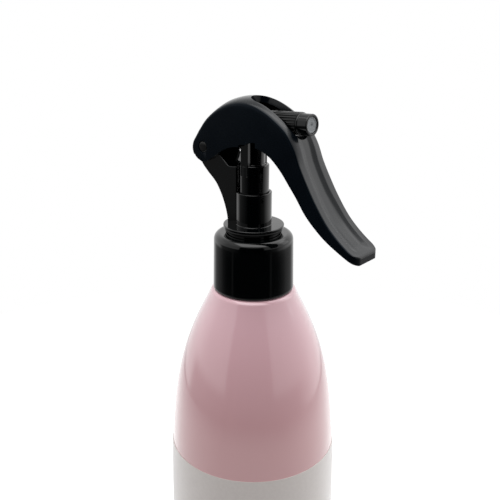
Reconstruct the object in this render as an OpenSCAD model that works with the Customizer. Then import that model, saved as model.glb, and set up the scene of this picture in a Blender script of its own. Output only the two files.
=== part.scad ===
// Trigger spray bottle: blown bottle, screw closure, pump and small rear-pivot trigger.
// Origin: centre of the bottle's standing face. +Z up, +X the way the nozzle sprays.
// Heights in the head group are measured from the closure's foot (see at_cap).

/* [Bottle] */
// Height of the closure's foot above the standing face
cap_z = 140; // [130:0.5:150]
// Outer radius of the bottle's barrel
body_r = 30; // [28:0.5:32]
// Wall thickness of the bottle
wall = 1; // [0.8:0.1:1.2]
// Radius that the shoulder curve would reach at the closure's foot
shoulder_r = 14.1; // [13.9:0.1:14.3]
// Length of the shoulder curve down from the closure's foot
shoulder_len = 107.4; // [100:0.1:107.4]
// Depth in which the shoulder does most of its widening
shoulder_fall = 24; // [23:0.5:25]
// Power of the shoulder curve, higher is rounder
shoulder_power = 1.22; // [1.15:0.01:1.3]
// Radius of the rounded edge on top of the shoulder
rim_r = 2; // [1.5:0.1:2.2]
// Radius of the heel
heel_r = 6; // [4:0.5:8]
// Depth of the push-up under the bottle
punt = 3; // [1.5:0.1:3]
// Height of the neck above the closure's foot
neck_h = 15.5; // [15:0.1:15.8]
// Outer radius of the neck between its threads
neck_r = 11; // [10.9:0.05:11.1]
// Inner radius of the neck
mouth_r = 9; // [8.8:0.1:9.2]

/* [Label] */
// Top of the label below the closure's foot
label_top = 58.9; // [50:0.1:65]
// Height of the label
label_h = 47.5; // [40:0.5:47.5]
// Thickness of the label
label_t = 0.15; // [0.1:0.01:0.2]

/* [Closure] */
// Outer radius of the closure at its foot
cap_r = 13.65; // [13.6:0.05:14]
// Height of the closure
cap_h = 19.3; // [19:0.1:19.6]
// Radius of the closure's rounded top edge
cap_edge = 2.2; // [1.5:0.1:2.5]
// Pitch of the neck thread
pitch = 4.23; // [4:0.01:4.4]

/* [Sleeve and post] */
// Radius of the disc on top of the closure
disc_r = 10.15; // [9.8:0.05:10.4]
// Outer radius of the guide sleeve
sleeve_r = 5.95; // [5.9:0.05:6.2]
// Bore of the guide sleeve
sleeve_bore = 5.1; // [5.1:0.01:5.15]
// Height of the sleeve's mouth
sleeve_top = 33.3; // [32:0.1:34]
// Width of the rear post
post_w = 10; // [9:0.1:10]

/* [Plunger] */
// Radius of the head's skirt, a running fit in the sleeve
skirt_r = 5; // [4.9:0.01:5]
// Height of the nozzle axis above the bottle's axis point
spout_z = 56.2; // [56:0.1:56.4]
// Upward tilt of the nozzle, in degrees
spout_tilt = 3.5; // [0:0.1:4]
// Radius of the nozzle's ribbed grip
grip_r = 3.72; // [3.5:0.01:3.8]
// Distance of the nozzle's front ring from the bottle's axis
nozzle_x = 22.7; // [22:0.1:23.5]
// Number of ribs round the nozzle's grip
grip_ribs = 26; // [18:1:32]

/* [Trigger] */
// Width over the trigger's cheeks
trigger_w = 13; // [12.8:0.1:14]
// Thickness of the cheeks
cheek_t = 1.3; // [1:0.05:1.3]
// Thickness of the trigger's top and outer face
crown_t = 2; // [1.8:0.1:2.2]
// Width of the slot that the nozzle looks out of
slot_w = 8.6; // [8.4:0.1:9]
// Width of the finger groove
groove_w = 5; // [4:0.1:6]
// Depth of the finger groove
groove_d = 0.6; // [0.5:0.1:1]

/* [Hidden] */
$fn = 96;
eps = 0.01;
black = "#15181a";
clear_white = "#e8e8e4";

// Neck thread: ridge radii and widths, and the shared start height
thread_z = 3.2;
thread_turns = 1.5;
neck_crest_r = 11.95;
cap_bore_r = 12.4;
cap_crest_r = 11.3;
thread_gap = 0.3;

// Closure and what it clamps
cap_top_t = 1.75;
cap_hole_r = 9.1;
gasket_t = 1.2;
flange_t = 0.8;
flange_z = neck_h + gasket_t + 0.05;
flange_r = 11.3;
cup_r = 7.8;
cup_bore = 6.6;
cup_top = 20.1;
disc_z = 20.3;
disc_top = 22.3;

// Pump
cyl_bore = 3.9;
cyl_r = 4.8;
cyl_foot = -15.2;
seat_r = 2.2;
seat_z = -19;
port_r = 1.1;
port_z = -20.5;
tube_r = 2.25;
tube_bore = 1.6;
tube_seat = -22;
ball_r = 1.5;
stem_r = 2.3;
stem_bore = 1.2;
stem_foot = 2.2;
stem_top = 47;
rod_flange_t = 1;
rod_r = 1.8;

// Front insert of the nozzle
insert_r = 2.48;
insert_x = 20.9;

// Pivot of the trigger and its driving noses
pivot = [-16.6, 46.6];
pivot_r = 1.82;
pivot_hole_r = 1.9;
boss_r = 2.8;
nose = [0.5, 54.15];
nose_r = 1.2;
head_rib_top = 52.85;

// Sections of the trigger from rear to tip, as knots of one smooth run. Each gives the cheek's
// top edge in x and z, the rise of the dome over it, and the lower edge in x and z.
trigger_knots = [[-19.9, 48.6, 0.6, -16.5, 42], [-18.2, 51.6, 0.9, -14.6, 42.4],
    [-15, 55.4, 1.1, -12.2, 43.8], [-11, 58.4, 1.6, -9, 46], [-6.7, 60.5, 2.2, -6.2, 47.5],
    [-2.5, 61.6, 2.35, -3.2, 48.4], [1.6, 61.8, 2.35, 1, 48.8], [5.6, 61.2, 2.1, 5.4, 49.3],
    [9.5, 59.9, 1.75, 8.8, 48.5], [13.4, 57.8, 1.6, 11.7, 47.1], [17.2, 55.1, 1.3, 14.2, 45.1],
    [20.3, 51, 0.7, 16.6, 42.7], [22.6, 46.2, 0.2, 19, 39.8], [25.1, 41.8, 0, 22, 36.2],
    [28.5, 36.3, 0, 25.2, 31.9], [32.6, 30.8, 0, 28.8, 28.4], [36.4, 27.1, 0, 33, 25.2],
    [40.1, 24.3, 0, 37.8, 22.5], [44, 21.9, 0, 44, 19.7]];
ear = [-16.8, 46];
ear_r = 4.5;
post_knots = [[-19.3, 44.6], [-18.7, 41.2], [-16, 38.3], [-12.4, 35.2], [-9.8, 31.2],
    [-8.1, 27], [-7.3, 23.5], [-7.4, 21]];

// ---- curves ----
// One point of a smooth curve through knots p, after knot i
function knot(p, i) = i < 0 ? 2 * p[0] - p[1]
    : i >= len(p) ? 2 * p[len(p) - 1] - p[len(p) - 2] : p[i];
function smooth_at(p, i, t) = 0.5 * (2 * knot(p, i)
    + (knot(p, i + 1) - knot(p, i - 1)) * t
    + (2 * knot(p, i - 1) - 5 * knot(p, i) + 4 * knot(p, i + 1) - knot(p, i + 2)) * t * t
    + (3 * knot(p, i) - knot(p, i - 1) - 3 * knot(p, i + 1) + knot(p, i + 2)) * t * t * t);
// A smooth curve through knots p, with n steps from knot to knot
function smooth(p, n = 4) = [for (i = [0:len(p) - 2], k = [0:n - 1]) smooth_at(p, i, k / n),
    p[len(p) - 1]];
// The curve moved sideways by d, to the right of its own direction
function unit(v) = v / norm(v);
function side(c, i) = let (t = unit(c[min(i + 1, len(c) - 1)] - c[max(i - 1, 0)])) [t.y, -t.x];
function shifted(c, d) = [for (i = [0:len(c) - 1]) c[i] + d * side(c, i)];
function arc(centre, r, from, to, n = 8) = [for (k = [0:n])
    centre + r * [cos(from + (to - from) * k / n), sin(from + (to - from) * k / n)]];
function reversed(c) = [for (i = [len(c) - 1:-1:0]) c[i]];

// Outer radius of the bottle at depth u under the closure's foot
function fall(u) = exp(-pow(u / shoulder_fall, shoulder_power));
function bottle_r(u) = u >= shoulder_len ? body_r
    : body_r - (body_r - shoulder_r) * (fall(u) - fall(shoulder_len));
function depths(from, to, n) = [for (k = [0:n]) from + (to - from) * k / n];

trigger_run = smooth(trigger_knots);
crown = [for (r = trigger_run) [r[0], r[1]]];

// ---- helpers ----
module at_cap() translate([0, 0, cap_z]) children();
module at_spout() translate([0, 0, cap_z + spout_z]) rotate([0, -spout_tilt, 0]) children();
module ring(r, bore, z0, z1) translate([0, 0, z0]) difference() {
    cylinder(r = r, h = z1 - z0);
    translate([0, 0, -1]) cylinder(r = bore, h = z1 - z0 + 2);
}
module rod_x(r, x0, x1) translate([x0, 0, 0]) rotate([0, 90, 0]) cylinder(r = r, h = x1 - x0);
module rod_y(r, at, w) translate([at.x, w / 2, at.y]) rotate([90, 0, 0]) cylinder(r = r, h = w);
// A side view, given in x and z, as a plate of width w about the middle plane
module plate(w) translate([0, w / 2, 0]) rotate([90, 0, 0]) linear_extrude(w) children();
// A solid through a row of rings of points, closed at both ends
module swept(rings) {
    n = len(rings[0]);
    last = len(rings) - 1;
    points = [for (r = rings) each r];
    walls = [for (i = [0:last - 1], j = [0:n - 1])
        [i * n + j, i * n + (j + 1) % n, (i + 1) * n + (j + 1) % n, (i + 1) * n + j]];
    polyhedron(points, concat(walls, [[for (j = [n - 1:-1:0]) j]],
        [[for (j = [0:n - 1]) last * n + j]]));
}
// A helical ridge of trapezoid section; steps are per turn
module thread(root_r, crest_r, root_w, crest_w, z0, turns, steps = 36) {
    section = [[root_r, -root_w / 2], [crest_r, -crest_w / 2], [crest_r, crest_w / 2],
        [root_r, root_w / 2]];
    loop = crest_r > root_r ? section : reversed(section);
    swept([for (k = [0:turns * steps]) let (a = 360 * k / steps)
        [for (p = loop) [p.x * cos(a), p.x * sin(a), z0 + pitch * a / 360 + p.y]]]);
}

// ---- bottle ----
module bottle() color("#e7b9c0") {
    // The shoulder's top edge is an arc that starts at the shoulder's own lean
    rim_top = cap_z - 0.35;
    rim_lean = 25;
    rim_u = cap_z - rim_top + rim_r * (1 - sin(rim_lean));
    rim_x = bottle_r(rim_u) - rim_r * cos(rim_lean);
    rim = arc([rim_x, rim_top - rim_r], rim_r, rim_lean, 90, 5);
    shoulder = [for (u = depths(shoulder_len, rim_u + 1, 28)) [bottle_r(u), cap_z - u]];
    foot_r = body_r - heel_r;
    ring_w = 3;
    punt_r = foot_r - ring_w;
    base = [for (r = depths(0, punt_r, 8)) [r, punt * (1 - pow(r / punt_r, 2))]];
    outer = concat(base, arc([foot_r, heel_r], heel_r, -90, 0), shoulder);
    inner = shifted(outer, -wall);
    rotate_extrude() polygon(concat(outer, rim, [[neck_r, rim_top],
        [neck_r, cap_z + neck_h], [mouth_r, cap_z + neck_h], [mouth_r, rim_top - 1.4]],
        [for (p = reversed(inner)) [max(p.x, 0), p.y]]));
    at_cap() thread(neck_r - 0.3, neck_crest_r, 2.2, 0.9, thread_z + 2.3, thread_turns);
}
module label() color("#dedad6") {
    front = depths(label_top, label_top + label_h, 12);
    seam = 4;
    rotate([0, 0, 130 + seam / 2]) rotate_extrude(angle = 360 - seam) polygon(concat(
        [for (u = front) [bottle_r(u) + 0.02, cap_z - u]],
        [for (u = reversed(front)) [bottle_r(u) + 0.02 + label_t, cap_z - u]]));
}

// ---- closure and seal ----
module closure() color(black) at_cap() {
    top_r = cap_r - 0.4;
    outer = concat([[cap_r - 0.3, 0], [cap_r, 0.4]],
        arc([top_r - cap_edge, cap_h - cap_edge], cap_edge, 0, 90));
    under = cap_h - cap_top_t;
    rotate_extrude() polygon(concat(outer, [[cap_hole_r, cap_h], [cap_hole_r, under],
        [cap_bore_r, under], [cap_bore_r, 1], [cap_bore_r + 0.4, 0]]));
    flank = (2.2 + 0.9 + 1.9 + 0.8) / 4 + thread_gap;
    thread(cap_bore_r + 0.3, cap_crest_r, 1.9, 0.8, thread_z + 2.3 - flank, thread_turns);
}
module neck_gasket() color("#d8d8d4") at_cap() ring(neck_r + 0.5, cup_r + 0.1, neck_h,
    neck_h + gasket_t);

// ---- fixed part of the pump ----
module post_side() {
    front = -3.2;
    top = [[-13.9, 48.3], [-10.5, 44.8], [-8.2, 42.8], [-7.1, 41.9], [-5.9, 41.6], [front, 41.9]];
    polygon(concat(smooth(post_knots), [[front, 21]], reversed(smooth(top))));
    translate(pivot) circle(r = boss_r);
}
module collar_body() color(black) at_cap() {
    spigot_r = cap_hole_r - 0.2;
    ring(disc_r, sleeve_bore, disc_z + 0.5, disc_top);
    ring(disc_r - 0.5, sleeve_bore, disc_z, disc_z + 0.5);
    ring(spigot_r, cup_r, flange_z + flange_t, disc_z);
    ring(sleeve_r, sleeve_bore, disc_z, sleeve_top);
    difference() {
        plate(post_w) post_side();
        translate([0, 0, 20]) cylinder(r = sleeve_r - 0.4, h = sleeve_top - 20);
        translate([0, 0, 20]) cylinder(r = skirt_r + 0.35, h = 30);
        // Moulded recess in the back of the post
        plate(post_w - 3.2) polygon([[-25, 34], [-11.9, 31], [-9.6, 34], [-11.5, 38.5],
            [-14.6, 42], [-22, 41]]);
    }
    rod_y(pivot_r, pivot, trigger_w - 0.2);
}
module pump_housing() color(clear_white) at_cap() difference() {
    rotate_extrude() polygon([[tube_r + 0.85, -29], [tube_r + 0.85, -20], [cyl_r, -17.5],
        [cyl_r, 13], [cup_r, 14.4], [cup_r, flange_z], [flange_r, flange_z],
        [flange_r, flange_z + flange_t], [cup_r, flange_z + flange_t], [cup_r, cup_top],
        [cup_bore, cup_top], [cup_bore, 15.4], [cyl_bore, 15.4], [cyl_bore, cyl_foot],
        [seat_r, cyl_foot], [seat_r, seat_z], [port_r, port_z], [port_r, tube_seat],
        [tube_r, tube_seat], [tube_r, -29]]);
    // Vent that lets air back into the bottle
    translate([0, 0, 11]) rod_x(0.5, 2, 6);
}
module stem_guide() color(clear_white) at_cap() {
    ring(cup_bore - 0.05, stem_r + 0.1, 15.45, 17.5);
    ring(cyl_bore - 0.1, stem_r + 0.6, 9, 15.45);
}
module stem_seal() color("#c9c9c4") at_cap() rotate_extrude() polygon([[stem_r + 0.05, 17.9],
    [4.6, 17.5], [4.6, 18.3], [stem_r + 0.5, 18.6], [stem_r + 0.05, 18.3]]);
module return_spring() color("silver") at_cap() {
    wire = 0.35;
    coil_r = 2.9;
    coils = 9;
    from = cyl_foot + wire;
    to = stem_foot - rod_flange_t - wire;
    steps = 16;
    swept([for (k = [0:coils * steps]) let (a = 360 * k / steps, z = from + (to - from)
        * k / (coils * steps)) [for (j = [0:5]) let (b = 60 * j, r = coil_r + wire * cos(b))
        [r * cos(a), r * sin(a), z + wire * sin(b)]]]);
}
module inlet_ball() color("silver") at_cap() {
    half_angle = atan((seat_r - port_r) / (seat_z - port_z));
    apex = port_z - port_r / tan(half_angle);
    translate([0, 0, apex + ball_r / sin(half_angle) + 0.03]) sphere(r = ball_r);
}
module dip_tube() color("#f2f2ee") {
    foot = 5;
    difference() {
        ring(tube_r, tube_bore, foot, cap_z + tube_seat - 0.3);
        translate([0, 0, foot - 3]) rotate([0, 30, 0]) cube([20, 20, 4], center = true);
    }
}

// ---- plunger ----
module piston() color("#ececea") at_cap() rotate_extrude() polygon([[stem_r + 0.02, 2.6],
    [3.2, 2.6], [3.85, 3], [3.85, 3.8], [3.3, 4.6], [3.3, 6.8], [3.85, 7.6], [3.85, 8.4],
    [3.4, 8.8], [stem_r + 0.02, 8.8]]);
module plunger_rod() color(clear_white) at_cap() {
    top = stem_foot;
    translate([0, 0, top]) cylinder(r = stem_bore, h = 3.8);
    translate([0, 0, top - rod_flange_t]) cylinder(r = 3.2, h = rod_flange_t);
    translate([0, 0, -3]) cylinder(r1 = 1.2, r2 = rod_r, h = top - rod_flange_t + 3);
}
module stem() color(clear_white) at_cap() difference() {
    ring(stem_r, stem_bore, stem_foot, stem_top);
    // Ports that the piston covers at rest
    translate([0, 0, 7.2]) rod_x(0.5, -4, 4);
}
module outlet_ball() color("silver") at_cap()
    translate([0, 0, stem_top + sqrt(pow(ball_r, 2) - pow(stem_bore, 2)) + 0.03])
        sphere(r = ball_r);
module actuator_head() color(black) {
    skirt_foot = 26;
    skirt_top = 42.5;
    chamber_top = 51;
    rib_foot = 38.95;
    difference() {
        union() {
            at_cap() difference() {
                union() {
                    ring(skirt_r, skirt_r - 0.9, skirt_foot, skirt_top - 1.5);
                    translate([0, 0, skirt_top - 1.5]) cylinder(r = skirt_r, h = 1);
                    translate([0, 0, skirt_top - 0.5])
                        cylinder(r1 = skirt_r, r2 = skirt_r - 0.4, h = 0.5);
                    ring(stem_r + 1, stem_r, 36, skirt_top);
                    translate([0, 0, skirt_top]) cylinder(r = 3.6, h = spout_z - skirt_top);
                    translate([-1.5, -skirt_r + 0.05, rib_foot])
                        cube([3, 2 * skirt_r - 0.1, head_rib_top - rib_foot]);
                }
                translate([0, 0, 30]) cylinder(r = stem_r, h = stem_top - 30);
                translate([0, 0, stem_top - eps]) cylinder(r = ball_r + 0.4,
                    h = chamber_top - stem_top);
                translate([0, 0, chamber_top - 1]) cylinder(r = 1, h = spout_z - chamber_top + 1);
                // Clear the ribs out of the space round the socket
                ring(skirt_r - 0.9, stem_r + 1, 30, skirt_top - 1.5);
            }
            at_spout() rod_x(3.7, -4.2, 7.8);
            at_spout() rod_x(stem_r, 7.8, 18.4);
        }
        at_spout() rod_x(tube_bore, -1, 19);
    }
}
module swirl_core() color(clear_white) at_spout() difference() {
    union() {
        rod_x(tube_bore, 14.4, 18.4);
        rod_x(1, 18.4, 20.3);
    }
    // Flutes that lead the liquid past the core
    for (a = [0:120:359]) rotate([a, 0, 0]) translate([14, -0.3, 1.1]) cube([5, 0.6, 1]);
}
module nozzle_seal() color("#2a2a2a") at_spout() translate([12, 0, 0]) rotate([0, 90, 0])
    rotate_extrude() translate([stem_r + 0.4, 0]) circle(r = 0.35, $fn = 24);
// Outline of the grip: ribs of even width on a many-sided root
function ribbed(root_r, crest_r) = let (step = 360 / grip_ribs)
    [for (a = [0:grip_ribs - 1], p = [[root_r, -0.29], [crest_r, -0.25], [crest_r, 0.25],
        [root_r, 0.29]]) p.x * [cos((a + p.y) * step), sin((a + p.y) * step)]];
module nozzle_knob() color(black) at_spout() {
    grip_x = 8.2;
    collar_x = nozzle_x - 4;
    neck_x = nozzle_x - 3.4;
    face_t = 0.5;
    difference() {
        union() {
            rod_x(grip_r, grip_x, grip_x + 0.8);
            translate([grip_x + 0.4, 0, 0]) rotate([0, 90, 0])
                linear_extrude(collar_x - grip_x) polygon(ribbed(grip_r - 0.3, grip_r - 0.02));
            rod_x(grip_r - 0.12, collar_x, neck_x);
            rod_x(grip_r - 0.42, neck_x, nozzle_x);
        }
        rod_x(stem_r + 0.1, grip_x - 1, 18.8);
        rod_x(stem_r + 0.8, 11.3, 12.7);
        rod_x(1.4, 18, 21.2);
        rod_x(insert_r, insert_x, nozzle_x + 1);
    }
}
module nozzle_insert() color("#9aa0a4") at_spout() difference() {
    rod_x(insert_r, insert_x, nozzle_x - 0.25);
    rod_x(0.25, 20, nozzle_x);
    rod_x(0.8, nozzle_x - 0.5, nozzle_x + 1);
}

// ---- trigger ----
// The trigger's outer body: a domed roof over straight cheeks
module trigger_body() {
    half = trigger_w / 2;
    swept([for (i = [0:len(trigger_run) - 1]) let (r = trigger_run[i], out = -side(crown, i))
        concat([[r[3], -half, r[4]]],
            [for (a = [-90:15:90]) [r[0] + out.x * r[2] * cos(a), half * sin(a),
                r[1] + out.y * r[2] * cos(a)]],
            [[r[3], half, r[4]]])]);
    rod_y(ear_r, ear, trigger_w);
}
module tip_plan() {
    corner = 2.8;
    end = 44;
    half = trigger_w / 2;
    translate([-30, -half]) square([30 + end - corner, 2 * half]);
    translate([-30, -half + corner]) square([30 + end, 2 * (half - corner)]);
    for (s = [-1, 1]) translate([end - corner, s * (half - corner)]) circle(r = corner);
}
module trigger() color(black) at_cap() {
    inner_w = trigger_w - 2 * cheek_t;
    tip_cavity = 40;
    // The ceiling runs level across the dome, so it is lower under the cheek's edge by less
    dome_at_wall = sqrt(1 - pow(inner_w / trigger_w, 2));
    ceiling = [for (i = [0:len(crown) - 1])
        crown[i] + (crown_t - dome_at_wall * trigger_run[i][2]) * side(crown, i)];
    inside = [for (p = ceiling) if (p.x < tip_cavity) p];
    groove = [for (p = crown) if (p.x > 0 && p.y < 53.5) p];
    difference() {
        intersection() {
            trigger_body();
            linear_extrude(80) tip_plan();
        }
        // Hollow, open underneath, with room for the post's boss
        plate(inner_w) {
            polygon(concat(inside, [[tip_cavity, 0], [-22, 0], [-22.6, 41.6], [-19.7, 44.6],
                [-19.5, 46.6]]));
            translate(pivot) circle(r = boss_r + 0.3);
        }
        // Slot for the nozzle, open from above and in front
        translate([slot_w / 2 - 0.1, 0, 50]) cylinder(r = slot_w / 2, h = 20);
        translate([slot_w / 2 - 0.1, -slot_w / 2, 57.4]) cube([20, slot_w, 20]);
        translate([0, 0, 57.4]) rod_x(slot_w / 2, 5, 30);
        // Finger groove
        plate(groove_w) polygon(concat(shifted(groove, groove_d),
            reversed(shifted(groove, -2))));
        // Notches beside the head
        plate(20) polygon([[-1.2, 40], [-1.1, 49.4], [1.6, 49.7], [3.2, 50.5], [5.7, 51],
            [6, 40]]);
        rod_y(pivot_hole_r, pivot, 20);
    }
    // Noses that push the head's ribs down, from just clear of the spout to the cheeks
    nose_tip = 4.05;
    for (s = [-1, 1]) translate([0, s * (inner_w / 2 + nose_tip) / 2, 0])
        rod_y(nose_r, nose, inner_w / 2 - nose_tip + 0.1);
    // Stiffening webs across the lever
    intersection() {
        trigger_body();
        plate(inner_w + 0.2) square([44, 60]);
        union() for (p = [[20.5, 43], [28, 33]])
            translate([p.x, 0, p.y]) rotate([0, 40, 0]) cube([9, 20, 1.2], center = true);
    }
}

bottle();
label();
closure();
neck_gasket();
collar_body();
pump_housing();
stem_guide();
stem_seal();
return_spring();
inlet_ball();
dip_tube();
piston();
plunger_rod();
stem();
outlet_ball();
actuator_head();
swirl_core();
nozzle_seal();
nozzle_knob();
nozzle_insert();
trigger();
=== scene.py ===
import math

import bmesh
import bpy
from mathutils import Matrix, Vector
from mathutils.bvhtree import BVHTree
from mathutils.geometry import interpolate_bezier


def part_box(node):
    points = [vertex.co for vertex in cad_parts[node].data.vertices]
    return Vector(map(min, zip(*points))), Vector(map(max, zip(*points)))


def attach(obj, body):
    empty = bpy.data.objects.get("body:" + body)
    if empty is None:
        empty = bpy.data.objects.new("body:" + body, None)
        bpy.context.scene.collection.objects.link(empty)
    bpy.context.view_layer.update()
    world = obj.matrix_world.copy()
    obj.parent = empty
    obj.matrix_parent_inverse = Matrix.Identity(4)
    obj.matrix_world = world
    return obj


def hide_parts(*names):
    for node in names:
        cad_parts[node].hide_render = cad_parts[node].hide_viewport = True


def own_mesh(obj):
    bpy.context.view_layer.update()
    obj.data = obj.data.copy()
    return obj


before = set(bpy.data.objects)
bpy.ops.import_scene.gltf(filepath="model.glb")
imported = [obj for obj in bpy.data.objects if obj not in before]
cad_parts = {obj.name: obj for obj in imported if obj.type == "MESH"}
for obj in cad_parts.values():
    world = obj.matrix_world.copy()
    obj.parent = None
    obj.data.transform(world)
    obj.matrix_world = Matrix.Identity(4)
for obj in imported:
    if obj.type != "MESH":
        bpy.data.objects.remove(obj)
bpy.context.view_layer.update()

# Spray bottle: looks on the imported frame. Row frame, metres: +Z up, +X the way the nozzle sprays.
# Shapes are written in millimetres, and placed() turns them into metres.
MM = 0.001
AXIS_R = 1e-4                    # stands for a radius of 0, where cleaned() merges the points
CAP_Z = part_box("closure")[0].z / MM      # the closure's foot, from which the head's heights count
CLOSURE_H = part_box("closure")[1].z / MM - CAP_Z
CLOSURE_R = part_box("closure")[1].x / MM
BARREL_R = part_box("bottle")[1].x / MM
DISC_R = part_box("collar_body")[1].x / MM
PIVOT = Vector((-16.6, 46.6))    # the trigger's pivot, x and height over the closure's foot
PIVOT_R = 1.82                   # of the pins
SPOUT_Z = 56.2                   # where the nozzle's axis crosses the bottle's axis
SPOUT_TILT = math.radians(3.5)

# ---- image points: the photograph's own frame, 500 x 500 ----
W = H = 500
POINTS = {
    "object_left": (173.6, 420.0),
    "object_right": (375.8, 256.0),
    "object_top": (249.0, 95.0),
    "closure_left": (213.2, 262.0),
    "closure_right": (293.0, 276.0),
    "closure_foot": (249.5, 301.1),
    "label_top": (250.0, 481.0),
    "label_top_left": (180.0, 453.3),
    "pivot": (203.0, 147.0),
    "nozzle_insert": (313.0, 124.8),
    "nozzle_front": (319.1, 124.5),
    "slot_foot": (304.0, 139.5),
    "sleeve_mouth": (252.9, 195.5),
    "disc_right": (282.9, 223.3),
    "lever_tip_foot": (360.0, 264.5),
}

# ---- camera ----
LENS = 52.0
SENSOR = 36.0
TRIGGER_TURN = math.radians(40)  # the trigger's middle plane against the line of sight
CAMERA_REACH = 0.22855           # from the bottle's axis
CAMERA_RISE = 0.09636            # over the closure's foot
CAMERA_PITCH = math.radians(20.10)
CAMERA_YAW = math.radians(-0.30)
CAMERA_ROLL = math.radians(0.18)


def facing(x, y, z):
    """A place in the studio's frame, whose -Y points to the camera, as a place in the row frame."""
    return Matrix.Rotation(TRIGGER_TURN, 3, "Z") @ Vector((x, y, z))


def make_camera():
    data = bpy.data.cameras.new("camera")
    data.sensor_fit = "AUTO"
    data.sensor_width = SENSOR
    data.lens = LENS
    data.clip_start = 0.01
    camera = bpy.data.objects.new("camera", data)
    bpy.context.scene.collection.objects.link(camera)
    aim = facing(math.sin(CAMERA_YAW) * math.cos(CAMERA_PITCH),
                 math.cos(CAMERA_YAW) * math.cos(CAMERA_PITCH), -math.sin(CAMERA_PITCH))
    turn = aim.to_track_quat("-Z", "Y").to_matrix() @ Matrix.Rotation(CAMERA_ROLL, 3, "Z")
    place = facing(0, -CAMERA_REACH, CAP_Z * MM + CAMERA_RISE)
    camera.matrix_world = Matrix.Translation(place) @ turn.to_4x4()
    bpy.context.scene.camera = camera
    return camera


# ---- curves in a side view: lists of Vectors (x, z) in millimetres ----
def arc(centre, r, start, end, n=8):
    """Points on a circle from angle start to angle end, in degrees."""
    angles = [math.radians(start + (end - start) * k / n) for k in range(n + 1)]
    return [Vector((centre[0] + r * math.cos(a), centre[1] + r * math.sin(a))) for a in angles]


def smooth(knots, n=8):
    """A smooth curve through knots."""
    p = [Vector(k) for k in knots]
    p = [2 * p[0] - p[1]] + p + [2 * p[-1] - p[-2]]
    curve = []
    for a, b, c, d in zip(p, p[1:], p[2:], p[3:]):
        curve += interpolate_bezier(b, b + (c - a) / 6, c - (d - b) / 6, c, n + 1)[:-1]
    return curve + [p[-2]]


def run(knots, n=4):
    """The curve of part.scad's smooth(): knots of any length, with n steps from knot to knot."""
    first = [2 * a - b for a, b in zip(knots[0], knots[1])]
    last = [2 * a - b for a, b in zip(knots[-1], knots[-2])]
    p = [first, *knots, last]
    curve = []
    for a, b, c, d in zip(p, p[1:], p[2:], p[3:]):
        for k in range(n):
            t = k / n
            curve.append([0.5 * (2 * v + (w - u) * t + (2 * u - 5 * v + 4 * w - x) * t * t
                                 + (3 * v - u - 3 * w + x) * t ** 3)
                          for u, v, w, x in zip(a, b, c, d)])
    return curve + [list(knots[-1])]


def spread(start, end, n):
    """Evenly spaced values from start to end, n steps apart."""
    return [start + (end - start) * k / n for k in range(n + 1)]


def rounded(corners, n=5):
    """A closed outline from corners (x, z, radius), each rounded by its own radius."""
    outline = []
    count = len(corners)
    for i, (x, z, r) in enumerate(corners):
        here = Vector((x, z))
        back = Vector(corners[i - 1][:2]) - here
        on = Vector(corners[(i + 1) % count][:2]) - here
        if r == 0:
            outline.append(here)
            continue
        half = back.angle(on) / 2
        cut = r / math.tan(half)
        start = here + back.normalized() * cut
        end = here + on.normalized() * cut
        centre = here + (back.normalized() + on.normalized()).normalized() * (r / math.sin(half))
        sweep = (start - centre).angle_signed(end - centre)
        for k in range(n + 1):
            spoke = start - centre
            spoke.rotate(Matrix.Rotation(-sweep * k / n, 2))
            outline.append(centre + spoke)
    return outline


class Path:
    """A curve that is read by the length along it."""

    def __init__(self, points):
        self.points = [points[0]]
        for p in points[1:]:
            if (p - self.points[-1]).length > 1e-4:
                self.points.append(p)
        self.marks = [0.0]
        for a, b in zip(self.points, self.points[1:]):
            self.marks.append(self.marks[-1] + (b - a).length)
        self.length = self.marks[-1]

    def at(self, s):
        s = min(max(s, 0.0), self.length)
        i = 0
        while i < len(self.marks) - 2 and self.marks[i + 1] < s:
            i += 1
        t = (s - self.marks[i]) / (self.marks[i + 1] - self.marks[i])
        return self.points[i].lerp(self.points[i + 1], t)

    def inward(self, s, step=0.35):
        """The direction to the right of the way the curve runs."""
        way = (self.at(s + step) - self.at(s - step)).normalized()
        return Vector((way.y, -way.x))

    def nearest(self, point):
        """The length at which the curve comes nearest to a point."""
        p = Vector(point)
        return min(spread(0, self.length, 2000), key=lambda s: (self.at(s) - p).length)


# ---- making meshes ----
def over_cap(v):
    """The row frame with its heights counted from the closure's foot."""
    return Vector((v[0], v[1], v[2] + CAP_Z))


def on_spout(v):
    """The nozzle's own frame: its x axis is the spray's direction."""
    p = Matrix.Rotation(-SPOUT_TILT, 3, "Y") @ Vector(v)
    return p + Vector((0, 0, SPOUT_Z + CAP_Z))


def at_pivot(v):
    """The pivot's own frame: its z axis runs across the trigger."""
    return over_cap((v[0] + PIVOT.x, v[2], -v[1] + PIVOT.y))


def placed(name, verts, faces, where):
    """A mesh object from millimetre points, in a frame that where() turns into the row's own."""
    mesh = bpy.data.meshes.new(name)
    mesh.from_pydata([where(v) * MM for v in verts], [], faces)
    mesh.update()
    piece = bpy.data.objects.new(name, mesh)
    bpy.context.scene.collection.objects.link(piece)
    return piece


def quads(rows, m, closed=False, first=0):
    """Faces between rows of m points, each row a ring; closed joins the last row to the first."""
    count = rows if closed else rows + 1
    return [(first + k * m + i, first + (k + 1) % count * m + i,
             first + (k + 1) % count * m + (i + 1) % m, first + k * m + (i + 1) % m)
            for k in range(rows) for i in range(m)]


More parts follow.
